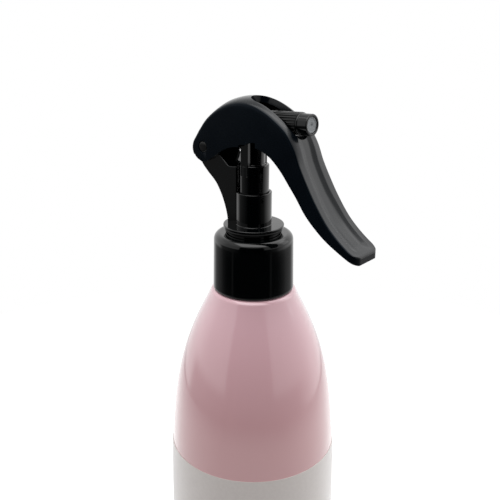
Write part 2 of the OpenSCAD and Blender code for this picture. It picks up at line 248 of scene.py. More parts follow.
def cleaned(piece, merge=1e-7, open_skin=False):
    """Joins doubled points and turns all faces outwards, an open skin's by the one on top."""
    bm = bmesh.new()
    bm.from_mesh(piece.data)
    bmesh.ops.delete(bm, geom=[v for v in bm.verts if not v.link_faces], context="VERTS")
    bmesh.ops.remove_doubles(bm, verts=bm.verts, dist=merge)
    bmesh.ops.dissolve_degenerate(bm, edges=bm.edges, dist=merge)
    bmesh.ops.recalc_face_normals(bm, faces=bm.faces)
    if open_skin and max(bm.faces, key=lambda f: f.calc_center_median().z).normal.z < 0:
        bmesh.ops.reverse_faces(bm, faces=bm.faces)
    bm.to_mesh(piece.data)
    bm.free()
    return piece


def applied(piece):
    """The piece with its modifiers made permanent."""
    bpy.context.view_layer.update()
    shown = piece.evaluated_get(bpy.context.evaluated_depsgraph_get())
    mesh = bpy.data.meshes.new_from_object(shown)
    old = piece.data
    piece.modifiers.clear()
    piece.data = mesh
    bpy.data.meshes.remove(old)
    return piece


def finished(piece, material, body, slot, *nodes, sharp=38):
    """Smooth shading with sharp corners, then the piece's material, body and CAD nodes; slot is not
    used.
    """
    piece.data.shade_smooth()
    piece.data.set_sharp_from_angle(angle=math.radians(sharp))
    weigh = piece.modifiers.new("weigh", "WEIGHTED_NORMAL")
    weigh.keep_sharp = True
    piece.data.materials.clear()
    piece.data.materials.append(material)
    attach(piece, body)
    if nodes:
        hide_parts(*nodes)
    return piece


def lathe(name, outline, where=over_cap, axis="z", n=128, shape=None):
    """A closed outline of (radius, height) turned round an axis; shape() may vary the radius."""
    verts = []
    for k in range(n):
        a = math.tau * k / n
        for r, h in outline:
            if shape:
                r = shape(r, h, a)
            ring = (r * math.cos(a), r * math.sin(a), h)
            verts.append(ring if axis == "z" else (ring[2], ring[0], ring[1]))
    return cleaned(placed(name, verts, quads(n, len(outline), closed=True), where))


def plate(name, outline, half, edge, where=over_cap):
    """A side view (x, z) as a plate from y = -half to half, with rounded edges."""
    m = len(outline)
    verts = [(p.x, y, p.y) for y in (-half, half) for p in outline]
    faces = [tuple(range(m)), tuple(range(2 * m - 1, m - 1, -1))]
    faces += [(i, (i + 1) % m, (i + 1) % m + m, i + m) for i in range(m)]
    piece = cleaned(placed(name, verts, faces, where))
    bevel(piece, edge)
    return applied(piece)


def bevel(piece, width, segments=3, angle=40):
    """Rounded edges of a width in millimetres, where faces meet at more than the angle."""
    mod = piece.modifiers.new("edges", "BEVEL")
    mod.width = width * MM
    mod.segments = segments
    mod.limit_method = "ANGLE"
    mod.angle_limit = math.radians(angle)
    mod.use_clamp_overlap = True


def cut(piece, *cutters, operation="DIFFERENCE"):
    """Takes the cutters away from the piece, or keeps what they share with it."""
    for cutter in cutters:
        mod = piece.modifiers.new("cut", "BOOLEAN")
        mod.operation = operation
        mod.solver = "EXACT"
        mod.object = cutter
    applied(piece)
    for cutter in cutters:
        bpy.data.objects.remove(cutter)
    return piece


def joined(name, pieces):
    """Several meshes as one piece."""
    bm = bmesh.new()
    for piece in pieces:
        bm.from_mesh(piece.data)
    mesh = bpy.data.meshes.new(name)
    bm.to_mesh(mesh)
    bm.free()
    for piece in pieces:
        bpy.data.objects.remove(piece)
    whole = bpy.data.objects.new(name, mesh)
    bpy.context.scene.collection.objects.link(whole)
    return whole


def helix(name, root_r, crest_r, root_w, crest_w, start):
    """A thread's ridge with rounded crest, tapering away at both ends."""
    n = 72
    fade = n / 8
    side = 8
    steps = int(THREAD_TURNS * n)
    verts = []
    for k in range(steps + 1):
        a = math.tau * k / n
        tall = (crest_r - root_r) * (0.15 + 0.85 * min(1.0, k / fade, (steps - k) / fade))
        for j in range(side + 1):
            t = 2 * j / side - 1
            across = t * (crest_w + (root_w - crest_w) * t * t) / 2
            r = root_r + tall * (1 - t ** 4)
            verts.append((r * math.cos(a), r * math.sin(a), start + THREAD_PITCH * k / n + across))
    row = side + 1
    faces = quads(steps, row) + [tuple(range(row)), tuple(range(len(verts) - 1, steps * row - 1, -1))]
    return cleaned(placed(name, verts, faces, over_cap))


# ---- shader nodes ----
def add(tree, kind, inputs, output=0, **settings):
    """A new node's output; its inputs, by name or number, are values or other nodes' outputs."""
    node = tree.nodes.new(kind)
    for key, value in settings.items():
        setattr(node, key, value)
    for key, value in inputs.items():
        if isinstance(value, bpy.types.NodeSocket):
            tree.links.new(value, node.inputs[key])
        else:
            node.inputs[key].default_value = value
    return node.outputs[output]


def calc(tree, operation, *values):
    """A Math node on numbers and other nodes' outputs."""
    return add(tree, "ShaderNodeMath", dict(enumerate(values)), operation=operation)


def map_range(tree, source, start, end, low=0.0, high=1.0, kind="LINEAR"):
    """A value that goes from low to high as the source goes from start to end."""
    return add(tree, "ShaderNodeMapRange", interpolation_type=kind, inputs={
        "Value": source, "From Min": start, "From Max": end, "To Min": low, "To Max": high})


def colour_ramp(tree, source, stops):
    """Colours over a source from 0 to 1, from stops of position and colour."""
    ramp = tree.nodes.new("ShaderNodeValToRGB")
    elements = ramp.color_ramp.elements
    while len(elements) < len(stops):
        elements.new(0.5)
    for element, (position, colour) in zip(elements, stops):
        element.position = position
        element.color = (*colour, 1)
    tree.links.new(source, ramp.inputs["Fac"])
    return ramp.outputs["Color"]


# ---- materials ----
class Look:
    """A Principled material: some sockets fixed, and colour, roughness and relief from noise."""

    def __init__(self, name, fixed):
        self.material = bpy.data.materials.new(name)
        self.material.use_nodes = True
        self.tree = self.material.node_tree
        self.shader = self.tree.nodes["Principled BSDF"]
        self.shader.inputs["Subsurface Scale"].default_value = 0.003
        for socket, value in fixed.items():
            self.shader.inputs[socket].default_value = value
        self.place = add(self.tree, "ShaderNodeTexCoord", {}, "Object")

    def link(self, output, socket):
        self.tree.links.new(output, self.shader.inputs[socket])

    def axis(self, name):
        """The X, Y or Z of a place on the object, in metres."""
        return add(self.tree, "ShaderNodeSeparateXYZ", {"Vector": self.place}, name)

    def noise(self, scale, detail=3.0, stretch=(1, 1, 1)):
        """Noise of a scale per metre, drawn out along an axis by stretch."""
        place = add(self.tree, "ShaderNodeMapping", {"Vector": self.place, "Scale": stretch})
        return add(self.tree, "ShaderNodeTexNoise", {"Vector": place, "Scale": scale, "Detail": detail})

    def colour(self, source, low, high, start=0.35, end=0.65, socket="Base Color"):
        """A colour that goes from low to high as the source goes from start to end."""
        self.link(colour_ramp(self.tree, source, [(start, low), (end, high)]), socket)

    def rough(self, source, low, high):
        self.link(map_range(self.tree, source, 0.3, 0.7, low, high), "Roughness")

    def relief(self, source, height):
        """Bumps of a height in micrometres."""
        self.link(add(self.tree, "ShaderNodeBump", {"Height": source, "Distance": height * 1e-6,
                                                    "Strength": 1.0}), "Normal")


def black_gloss():
    """Polished black mouldings: closure, collar, head and nozzle."""
    look = Look("black_gloss", {"IOR": 1.5})
    look.colour(look.noise(60), (0.0004, 0.0007, 0.0009), (0.0008, 0.0013, 0.0016))
    look.rough(look.noise(90), 0.06, 0.10)
    look.relief(look.noise(260, 1), 1.5)
    return look.material


def black_satin():
    """The trigger's finely grained black moulding, with painted shade on its cheeks: a dark blue-grey
    specular tint there dims their reflections against the crown's.
    """
    look = Look("black_satin", {"IOR": 1.45})
    side = calc(look.tree, "ABSOLUTE", look.axis("Y"))
    cheek = map_range(look.tree, side, (HALF_W - 0.7) * MM, (HALF_W - 0.05) * MM)
    # Painted shade: reflections on the cheeks are tinted dark blue-grey, so the cheeks read darker than
    # the crown
    look.colour(cheek, (1, 1, 1), (0.12, 0.17, 0.24), 0, 1, socket="Specular Tint")
    look.colour(look.noise(60), (0.0008, 0.002, 0.0036), (0.0014, 0.003, 0.005))
    look.rough(look.noise(120), 0.19, 0.24)
    look.relief(look.noise(900, 1), 1.5)
    return look.material


def rose_plastic():
    """The bottle: glossy rose plastic that deepens a little from the shoulder down."""
    look = Look("rose_plastic", {"IOR": 1.52, "Coat Weight": 1.0, "Coat Roughness": 0.03,
                                 "Sheen Weight": 0.3, "Sheen Roughness": 0.45})
    fade = map_range(look.tree, look.axis("Z"), (CAP_Z - 50) * MM, (CAP_Z - 5) * MM)
    cloud = calc(look.tree, "MULTIPLY_ADD", look.noise(14, 2, (1, 1, 0.4)), 0.12, fade)
    look.colour(cloud, (0.72, 0.405, 0.42), (0.755, 0.465, 0.515), 0.06, 1.06)
    look.rough(look.noise(70, 2), 0.05, 0.09)
    look.relief(look.noise(110, 1, (1, 1, 0.35)), 8)
    return look.material


def label_film():
    look = Look("label_film", {"IOR": 1.8, "Sheen Weight": 1.0, "Sheen Roughness": 0.45})
    look.colour(look.noise(900, 2), (0.69, 0.63, 0.60), (0.715, 0.655, 0.625))
    look.rough(look.noise(500), 0.32, 0.42)
    look.relief(look.noise(1500, 2), 4)
    return look.material


def moulding(name, low, high, rough, sss=0.0):
    """Plain satin plastics: the nozzle's insert and the pieces inside."""
    look = Look(name, {"Subsurface Weight": sss})
    look.colour(look.noise(80), low, high)
    look.rough(look.noise(150), rough, rough + 0.12)
    look.relief(look.noise(1200, 2), 8)
    return look.material


def steel():
    look = Look("steel", {"Metallic": 1.0})
    look.colour(look.noise(400), (0.52, 0.52, 0.53), (0.62, 0.62, 0.63))
    look.rough(look.noise(900, 2), 0.12, 0.24)
    look.relief(look.noise(3000, 2), 3)
    return look.material


# ---- bottle and label ----
SHOULDER_R = 14.1
SHOULDER_LEN = 107.4
SHOULDER_FALL = 24.0
SHOULDER_POWER = 1.22
RIM_R = 2.0                      # rounded edge on top of the shoulder
RIM_TOP = -0.35
RIM_LEAN = 25.0
HEEL_R = 6.0
STAND_W = 3.0                    # width of the ring that the bottle stands on
PUNT = 3.0                       # height of the push-up inside it
GATE_R = 1.5                     # dimple in the push-up's middle
WALL = 1.0
NECK_R = 11.0
MOUTH_R = 9.0
NECK_H = 15.5
THREAD_PITCH = 4.23
THREAD_TURNS = 1.5
LABEL_TOP = 58.9
LABEL_H = 47.5
LABEL_T = 0.15
LABEL_GLUE = 0.02                # between the bottle and the label
LABEL_SEAM = 130.0               # azimuth of the label's seam, at the back
LABEL_GAP = 4.0                  # degrees between its ends


def bottle_r(depth):
    """The bottle's radius at a depth under the closure's foot."""
    if depth >= SHOULDER_LEN:
        return BARREL_R

    def fall(u):
        return math.exp(-(u / SHOULDER_FALL) ** SHOULDER_POWER)

    return BARREL_R - (BARREL_R - SHOULDER_R) * (fall(depth) - fall(SHOULDER_LEN))


def make_bottle(material):
    foot_r = BARREL_R - HEEL_R
    punt_r = foot_r - STAND_W
    foot = -CAP_Z
    lean = math.radians(RIM_LEAN)
    rim_depth = RIM_R * (1 - math.sin(lean)) - RIM_TOP
    rim_x = bottle_r(rim_depth) - RIM_R * math.cos(lean)

    def punt(rise, start, end, n):
        """The push-up's arch from one radius to another, lifted by rise."""
        return [(r, foot + rise + PUNT * (1 - (r / punt_r) ** 2)) for r in spread(start, end, n)]

    gate = [(AXIS_R, foot + PUNT - 0.5), (GATE_R - 0.5, foot + PUNT - 0.45),
            (GATE_R, foot + PUNT - 0.05)]
    stand = [(punt_r + 0.2, foot + 0.03), (punt_r + 0.7, foot), (foot_r, foot)]
    heel = arc((foot_r, foot + HEEL_R), HEEL_R, -84, 0, 14)
    shoulder = [(bottle_r(u), -u) for u in spread(SHOULDER_LEN, rim_depth + 0.4, 100)]
    rim = arc((rim_x, RIM_TOP - RIM_R), RIM_R, RIM_LEAN, 90, 12)
    neck = [(NECK_R + 0.5, -0.35), (NECK_R + 0.1, -0.2), (NECK_R, 0.2), (NECK_R, NECK_H - 0.4),
            (NECK_R - 0.4, NECK_H), (MOUTH_R + 0.3, NECK_H), (MOUTH_R, NECK_H - 0.3),
            (MOUTH_R, RIM_TOP - 1.4)]
    inside = [(bottle_r(u) - WALL, -u) for u in spread(3.4, SHOULDER_LEN, 40)]
    inside += arc((foot_r, foot + HEEL_R), HEEL_R - WALL, 0, -84, 10)
    inside += punt(WALL, punt_r - 0.6, 2.2, 8) + [(AXIS_R, foot + PUNT + WALL)]
    outside = gate + punt(0, 2.2, punt_r - 0.6, 12) + stand + heel + shoulder + rim
    shell = lathe("bottle_shell", outside + neck + inside, n=192)
    thread = helix("neck_thread", root_r=NECK_R - 0.3, crest_r=11.95, root_w=2.2, crest_w=0.9,
                   start=5.5)
    bottle = joined("bottle_blown", [shell, thread])
    return finished(bottle, material, "bottle", "bottle_pet", "bottle")


def make_label(material):
    """A wrapped film: a strip round the bottle whose ends stop short of each other at the back."""
    n = 240
    rows = spread(LABEL_TOP, LABEL_TOP + LABEL_H, 40)
    outline = [(bottle_r(u) + LABEL_GLUE + LABEL_T, -u) for u in rows]
    outline += [(bottle_r(u) + LABEL_GLUE, -u) for u in reversed(rows)]
    start = math.radians(LABEL_SEAM + LABEL_GAP / 2)
    span = math.radians(360 - LABEL_GAP)
    m = len(outline)
    verts = [(r * math.cos(start + span * k / n), r * math.sin(start + span * k / n), h)
             for k in range(n + 1) for r, h in outline]
    ends = [(end + i, end + i + 1, end + m - 2 - i, end + m - 1 - i)
            for end in (0, n * m) for i in range(len(rows) - 1)]
    label = cleaned(placed("label_wrap", verts, quads(n, m) + ends, over_cap), merge=1e-8)
    return finished(label, material, "bottle", "label_film", "label")


# ---- closure ----
def make_closure(material):
    top = CLOSURE_H
    under = top - 1.75
    edge = 2.2                   # rounding of the upper edge
    draft = 0.4                  # how much narrower the skirt is at the top
    hole_r = 9.1
    bore_r = 12.4
    wall = [(CLOSURE_R - draft * h / top, h, 0) for h in spread(1, 16, 15)]
    outline = rounded([
        (CLOSURE_R, 0, 0.35), *wall, (CLOSURE_R - draft, top, edge), (hole_r, top, 0.3),
        (hole_r, under, 0.2), (bore_r, under, 0.4), (bore_r, 1, 0.2), (bore_r + 0.35, 0, 0.15)], 8)
    shell = lathe("closure_shell", outline, n=160)
    thread = helix("closure_thread", root_r=bore_r + 0.3, crest_r=11.3, root_w=-1.9, crest_w=-0.8,
                   start=3.75)
    closure = joined("closure_cap", [shell, thread])
    return finished(closure, material, "closure", "black_pp", "closure")


# ---- sleeve, post and pivots ----
SLEEVE_R = 5.95
SLEEVE_BORE = 5.1
SLEEVE_TOP = 33.3
DISC_Z = 20.3
DISC_TOP = 22.3
SPIGOT_FOOT = 17.55              # ring under the disc, inside the closure's hole
POST_W = 10.0
POST_FRONT = -3.2
POST_FOOT = 21.0
BOSS_R = 2.8                     # rounded top of the post round the pivot
PIN_REACH = 6.4


def make_collar(material):
    spigot_r = 8.9
    cup_r = 7.8
    body = lathe("collar_disc", rounded([
        (DISC_R - 0.55, DISC_Z, 0.15), (DISC_R - 0.45, DISC_Z + 0.6, 0.1),
        (DISC_R - 0.1, DISC_Z + 0.75, 0.12), (DISC_R, DISC_TOP, 0.3), (SLEEVE_R + 0.02, DISC_TOP, 0.25),
        (SLEEVE_R, SLEEVE_TOP, 0.22), (SLEEVE_BORE, SLEEVE_TOP, 0.22), (SLEEVE_BORE, DISC_Z, 0),
        (cup_r, DISC_Z, 0), (cup_r, SPIGOT_FOOT, 0), (spigot_r, SPIGOT_FOOT, 0),
        (spigot_r, DISC_Z, 0.1)]))
    rear = smooth([(-7.4, POST_FOOT), (-7.3, 23.5), (-8.1, 27), (-9.8, 31.2), (-12.4, 35.2),
                   (-16, 38.3), (-18.7, 41.2), (-19.3, 44.6)])
    boss = arc(PIVOT, BOSS_R, 150, 40, 10)
    top = smooth([(-13.9, 48.3), (-10.5, 44.8), (-8.2, 42.8), (-7.1, 41.9), (-5.9, 41.6),
                  (POST_FRONT, 41.9)], 4)
    post = plate("post", rear + boss + top + [Vector((POST_FRONT, POST_FOOT))], POST_W / 2, 0.35)
    recess = plate("recess", rounded([(-25, 34, 0), (-11.9, 31, 0.6), (-9.6, 34, 1.5),
                                      (-11.5, 38.5, 1.5), (-14.6, 42, 1.2), (-22, 41, 0)]),
                   POST_W / 2 - 1.6, 0.2)
    bore_r = SKIRT_R + 0.35      # room for the head's skirt, over the sleeve
    room = lathe("room", [(AXIS_R, 18), (SLEEVE_R - 0.4, 18), (SLEEVE_R - 0.4, SLEEVE_TOP - 0.3),
                          (bore_r, SLEEVE_TOP - 0.3), (bore_r, 52), (AXIS_R, 52)], n=96)
    cut(post, recess, room)
    pins = lathe("pins", rounded([(AXIS_R, -PIN_REACH, 0), (PIVOT_R, -PIN_REACH, 0.35),
                                  (PIVOT_R, PIN_REACH, 0.35), (AXIS_R, PIN_REACH, 0)]),
                 where=at_pivot, n=48)
    collar = joined("collar_post", [body, post, pins])
    return finished(collar, material, "sprayer", "black_pp", "collar_body")


# ---- head and nozzle ----
SKIRT_R = 5.0
SKIRT_FOOT = 26.0
SKIRT_TOP = 42.5
RIB = (38.95, 52.85)             # foot and top of the ribs that the trigger pushes on
SPOUT_R = 3.7
SPOUT_FRONT = 7.8                # on the spout's axis, as all places of the nozzle
PEG_R = 2.3                      # the spout's thin front end, inside the nozzle
PEG_FRONT = 18.4
GRIP_R = 3.72
GRIP_X = 8.2
GRIP_RIBS = 26
NOZZLE_X = 22.7
NOZZLE_BORE = 2.4
NOZZLE_WEB = (18.8, 21.0)        # the wall between the bore and the insert
INSERT_R = 2.48


def make_head(material):
    """The plunger's head: skirt, ribs that the trigger pushes on, and the spout."""
    neck_r = 3.6
    neck_top = 55.0
    wall = 0.9
    skirt = lathe("skirt", rounded([
        (SKIRT_R, SKIRT_FOOT, 0.2), (SKIRT_R, SKIRT_TOP, 0.4), (neck_r, SKIRT_TOP, 0.3),
        (neck_r, neck_top, 0), (AXIS_R, neck_top, 0), (AXIS_R, 49, 0), (1.2, 47, 0), (2.3, 41, 0),
        (3.3, 36, 0), (SKIRT_R - wall, 41, 0.4), (SKIRT_R - wall, SKIRT_FOOT, 0.2)]), n=96)
    foot, top = RIB
    ribs = plate("ribs", rounded([(-1.5, foot, 0.3), (1.5, foot, 0.3), (1.5, top, 0.2),
                                  (-1.5, top, 0.2)]), SKIRT_R - 0.05, 0.15)
    bore_r = 1.6
    bore_x = 12.0
    spout = lathe("spout", rounded([
        (AXIS_R, -4.2, 0), (SPOUT_R, -4.2, 0.8), (SPOUT_R, SPOUT_FRONT, 0.3), (PEG_R, SPOUT_FRONT, 0.2),
        (PEG_R, PEG_FRONT, 0.2), (bore_r, PEG_FRONT, 0), (bore_r, bore_x, 0), (AXIS_R, bore_x, 0)]),
        where=on_spout, axis="x", n=96)
    head = joined("head", [skirt, ribs, spout])
    return finished(head, material, "plunger", "black_pp", "actuator_head")


def make_nozzle(material):
    collar_x = NOZZLE_X - 4
    neck_x = NOZZLE_X - 3.4
    root_r = GRIP_R - 0.34
    ring_r = GRIP_R - 0.12
    web, socket = NOZZLE_WEB

    def ribbed(r, x, a):
        """Pulls the grip's surface in between the ribs."""
        if r < GRIP_R - 0.06 or not GRIP_X + 0.95 < x < collar_x - 0.1:
            return r
        wave = 0.5 + 0.5 * math.cos(GRIP_RIBS * a)
        return root_r + (r - root_r) * min(1.0, 1.6 * wave ** 1.5)

    rear = rounded([(NOZZLE_BORE, GRIP_X, 0), (GRIP_R, GRIP_X, 0.25), (GRIP_R, GRIP_X + 0.8, 0.1)], 4)
    grip = [(GRIP_R - 0.04, x) for x in (GRIP_X + 0.9, *spread(GRIP_X + 1.1, collar_x - 0.25, 4),
                                         collar_x - 0.05)]
    front = rounded([
        (ring_r, collar_x, 0.12), (ring_r, neck_x, 0.3), (GRIP_R - 0.38, neck_x, 0.1),
        (GRIP_R - 0.42, NOZZLE_X, 0.32), (INSERT_R, NOZZLE_X, 0.22), (INSERT_R, socket, 0),
        (1.4, socket, 0), (1.4, web, 0), (NOZZLE_BORE, web, 0)], 6)
    knob = lathe("nozzle_twist_cap", rear + grip + front, where=on_spout, axis="x",
                 n=GRIP_RIBS * 12, shape=ribbed)
    return finished(knob, material, "nozzle", "black_pp", "nozzle_knob")


def make_insert(material):
    """The insert's front: a rim, a shallow dish, and a deeper one round the spray hole."""
    rear = NOZZLE_WEB[1] - 0.1
    face = NOZZLE_X - 0.3
    dish = face - 0.08
    eye = face - 0.2
    outer_r = INSERT_R - 0.02
    hole_r = 0.25
    insert = lathe("nozzle_disc", rounded([
        (hole_r, rear, 0), (outer_r, rear, 0), (outer_r, face, 0.15), (2.1, face, 0.1),
        (1.95, dish, 0.05), (0.8, dish, 0.05), (0.65, eye, 0.05), (hole_r, eye, 0.05)]),
        where=on_spout, axis="x", n=96)
    return finished(insert, material, "nozzle", "insert_pom", "nozzle_insert")


# ---- trigger ----
HALF_W = 6.5
CHEEK_T = 1.3
CROWN_T = 2.0
SLOT_R = 4.25
TIP_X = 44.2
TIP_CORNER = 3.0
# Sections from rear to tip: the cheek's top edge in x and height, the rise of the dome over it,
# and the lower edge in x and height
SECTIONS = [
    (-18.2, 51.6, 0.9, -14.6, 42.4), (-15, 55.4, 1.1, -12.2, 43.8), (-11, 58.4, 1.6, -9, 46),
    (-6.7, 60.5, 2.2, -6.2, 47.5), (-2.5, 61.6, 2.35, -3.2, 48.4), (1.6, 61.8, 2.35, 1, 48.8),
    (5.6, 61.2, 2.1, 5.4, 49.3), (9.5, 59.9, 1.75, 8.8, 48.5), (13.4, 57.8, 1.6, 11.7, 47.1),
    (17.2, 55.1, 1.3, 14.2, 45.1), (20.3, 51, 0.7, 16.6, 42.7), (22.6, 46.2, 0.2, 19, 39.8),
    (25.1, 41.8, 0, 22, 36.2), (28.5, 36.3, 0, 25.2, 31.9), (32.6, 30.8, 0, 28.8, 28.4),
    (36.4, 27.1, 0, 33, 25.2), (40.1, 24.3, 0, 37.8, 22.5), (42.6, 22.75, 0, 42.4, 20.3),
]
REAR = [(-16.6, 41.45), (-18.3, 41.65), (-19.9, 42.55), (-21.0, 44.1), (-21.35, 45.9), (-20.8, 47.9),
        (-19.6, 49.6)]
LOWER_START = [(-16.6, 41.45), (-15.8, 41.85)]
TIP_ARC = ((43.15, 21.45), 1.0)           # rounded top of the end face
TIP_FOOT = (44.15, 19.5)
TIP_HEEL = (44.14, 19.45)
TIP_CORE = [(40, 23.1), (42.4, 21.9), (43.9, 20.6), (43.9, 20.05), (40, 21.7)]   # fills the tip
CORE_INSET = 0.2                 # how far the core stays inside the lever's sides
NOTCH = [(-1.2, 40, 0), (-1.1, 49.4, 0.4), (1.6, 49.7, 1), (3.2, 50.5, 1), (5.7, 51, 0.3), (6, 40, 0)]
SLOT_REAR = (-0.1, 61.8)
SLOT_FOOT = (19.3, 52.6)
GROOVE = 0.55                    # depth of the finger channel
GROOVE_HALF = 1.9                # half the width of its floor
GROOVE_WALL = 1.3                # width of its sloping sides
WEBS = [(20.5, 43), (28, 33)]    # middles of the cross walls inside the lever
WEB_ANGLE = math.radians(-40)
HOLE_R = 1.9                     # for the pivot's pins
NOSE_X = 0.5                     # the noses that press the head down, their axis
NOSE_Z = 54.15
NOSE_R = 1.2
NOSE_FOOT = 4.05                 # their inner ends, beside the middle plane


def tip_half(x):
    """Half the lever's width at x, rounded off in plan at the tip."""
    reach = min(max(x - (TIP_X - TIP_CORNER), 0.0), TIP_CORNER)
    return HALF_W - TIP_CORNER + math.sqrt(TIP_CORNER ** 2 - reach ** 2)


def ease(t):
    """A smooth step from 0 to 1."""
    t = min(max(t, 0.0), 1.0)
    return t * t * (3 - 2 * t)


def between(pairs, s):
    """The value at s of a line through pairs (s, value)."""
    for (s0, t0), (s1, t1) in zip(pairs, pairs[1:]):
        if s <= s1:
            return t0 + (t1 - t0) * max(0.0, s - s0) / (s1 - s0)
    return pairs[-1][1]


def station_lines(length, slot_rear, slot_foot):
    """Stations as (place at the middle, bend round the slot's end), and the slot's first and last."""
    step = 0.7
    step_below = 0.6
    tip_length = 3.6
    tip_steps = 16
    bend_lines = 10              # over which the bend dies out
    count = int(slot_rear / step)
    lines = [(slot_rear * k / count, max(0.0, 1 - (count - k) / bend_lines)) for k in range(count + 1)]
    first_gap = count
    straight = slot_foot - slot_rear - 2 * SLOT_R
    n = int(straight / step)
    lines += [(slot_rear + SLOT_R + straight * k / n, 0.0) for k in range(1, n)]
    last_gap = len(lines)
    rest = length - tip_length - slot_foot
    count = int(rest / step_below)
    lines += [(slot_foot + rest * k / count, -max(0.0, 1 - k / bend_lines)) for k in range(count)]
    lines += [(s, 0.0) for s in spread(length - tip_length, length, tip_steps)]
    return lines, first_gap, last_gap


def trigger_edges():
    """The crown's line at the cheeks' top edges, and the trigger's lower edge, from rear to tip."""
    sections = run(SECTIONS, 6)
    tip = arc(*TIP_ARC, 62, 5, 6) + [Vector(TIP_FOOT)]
    outer = smooth(REAR + [SECTIONS[0][:2]], 8)[:-1] + [Vector(r[:2]) for r in sections] + tip
    lower = smooth(LOWER_START + [SECTIONS[0][3:]], 6)[:-1] + [Vector(r[3:]) for r in sections]
    return Path(outer), Path(lower + [Vector(TIP_HEEL)])


def trigger_sheet():
    """The trigger's outer skin as a grid of stations along the crown and columns across it."""
    outer, lower = trigger_edges()
    slot_rear, slot_foot, rear_open, groove_end, rear_knot = (
        outer.nearest(p) for p in (SLOT_REAR, SLOT_FOOT, REAR[3], TIP_ARC[0], REAR[4]))
    reach = [outer.nearest(r[:2]) for r in SECTIONS]
    feet = [(0.0, 0.0), (rear_knot, 0.6)]
    feet += [(s, lower.nearest(r[3:])) for s, r in zip(reach, SECTIONS)]
    feet.append((outer.length, lower.length))
    rises = [(0.0, 0.0), (reach[0] - 4, 0.7)] + [(s, r[2]) for s, r in zip(reach, SECTIONS)]
    lines, first_gap, last_gap = station_lines(outer.length, slot_rear, slot_foot)
    # Columns: the slot's and the channel's half, then the dome's shoulder, then the cheek
    slot_columns = 7
    across = [SLOT_R * math.sin(math.radians(15 * j)) for j in range(slot_columns)] + [4.65]
    across += [HALF_W * math.sin(math.radians(a)) for a in (51, 58, 65, 71, 76, 80.5, 85, 90)]
    drop = [0.05, 0.3, 0.65, 1.0]
    columns = len(across) + len(drop)

    def dome(s, y, cheek):
        """The skin's height over the crown's line: the dome, less its fillet and the channel."""
        rise = between(rises, s)
        fillet = min(0.5 - 0.25 * min(1.0, rise), 0.3 * cheek)
        over = max(0.0, y - (HALF_W - fillet))
        sink = fillet - math.sqrt(max(0.0, fillet ** 2 - over ** 2))
        soft = ease((s - slot_foot - 14) / 12)    # the channel's sides flatten down the lever
        wall = ease((y - GROOVE_HALF - 0.3 * soft) / (GROOVE_WALL + 0.7 * soft))
        deep = GROOVE * ease((s - slot_foot + 5) / 2.0) * ease((groove_end - s) / 4.0)
        return rise * math.sqrt(max(0.0, 1 - (y / HALF_W) ** 2)) - sink - deep * (1 - wall)

    verts = []
    weights = []
    for u, bend in lines:
        for j in range(columns):
            y = across[min(j, len(across) - 1)]
            lean = SLOT_R - math.sqrt(max(0.0, SLOT_R ** 2 - min(y, SLOT_R) ** 2))
            s = min(max(u + bend * lean, 0.0), outer.length)
            edge = outer.at(s)
            foot = lower.at(between(feet, s))
            p = edge - outer.inward(s) * dome(s, y, (edge - foot).length)
            if j >= len(across):
                p = p.lerp(foot, drop[j - len(across)])
            verts.append((p.x, y * tip_half(p.x) / HALF_W, p.y))
            share = 1.0 if j < len(across) - 3 else CHEEK_T / CROWN_T
            weights.append(share * (1 - 0.75 * ease((p.x - 38) / 4)))    # thin walls at the tip
    faces = []
    for i in range(len(lines) - 1):
        skipped = slot_columns - 1 if first_gap <= i < last_gap else 0
        if lines[i + 1][0] < rear_open:
            skipped = len(across) - 1
        faces += [(i * columns + j, (i + 1) * columns + j, (i + 1) * columns + j + 1,
                   i * columns + j + 1) for j in range(skipped, columns - 1)]
    mirror = [(x, -y, z) for x, y, z in verts]
    faces += [tuple(len(verts) + v for v in reversed(f)) for f in faces]
    piece = placed("trigger_hood", verts + mirror, faces, over_cap)
    group = piece.vertex_groups.new(name="thickness")
    for v, w in enumerate(weights + weights):
        group.add([v], w, "REPLACE")
    return cleaned(piece, merge=2e-6, open_skin=True)


def make_nose(side, inner):
    """One of the two noses, from the cheek's inside towards the middle."""
    outline = rounded([(AXIS_R, NOSE_FOOT, 0), (NOSE_R, NOSE_FOOT, 0.25), (NOSE_R, inner, 0),
                       (AXIS_R, inner, 0)])
    return lathe(f"nose{side}", outline, n=32,
                 where=lambda v: over_cap((v[0] + NOSE_X, side * v[2], v[1] + NOSE_Z)))


def make_tip_core():
    """Fills the lever's tip, with the same rounded corners in plan."""
    half = HALF_W - CORE_INSET
    tip = TIP_X - CORE_INSET
    corner = TIP_CORNER - CORE_INSET
    core = plate("tip_core", [Vector(c) for c in TIP_CORE], half, 0)
    plan = rounded([(30, -half, 0), (tip, -half, corner), (tip, half, corner), (30, half, 0)], 8)
    shape = plate("tip_plan", plan, 8, 0, where=lambda v: over_cap((v[0], v[2], v[1] + 22)))
    return cut(core, shape, operation="INTERSECT")


def make_trigger(material):
    hood = trigger_sheet()
    thick = hood.modifiers.new("thick", "SOLIDIFY")
    thick.thickness = CROWN_T * MM
    thick.offset = -1
    thick.vertex_group = "thickness"
    thick.use_even_offset = True
    thick.use_quality_normals = True
    hole = lathe("pivot_hole", [(AXIS_R, -9), (HOLE_R, -9), (HOLE_R, 9), (AXIS_R, 9)],
                 where=at_pivot, n=48)
    cut(hood, hole, plate("notch", rounded(NOTCH), 9, 0))
    bevel(hood, 0.2, 2, 55)
    applied(hood)
    inner = HALF_W - CHEEK_T
    parts = [hood, make_nose(-1, inner), make_nose(1, inner), make_tip_core()]
    for x, z in WEBS:
        corners = [Matrix.Rotation(WEB_ANGLE, 2) @ Vector(c) + Vector((x, z))
                   for c in ((-4, -0.6), (4, -0.6), (4, 0.6), (-4, 0.6))]
        parts.append(plate("web", corners, inner + 0.1, 0.15))
    trigger = joined("trigger_hood", parts)
    return finished(trigger, material, "trigger", "black_pp", "trigger", sharp=42)


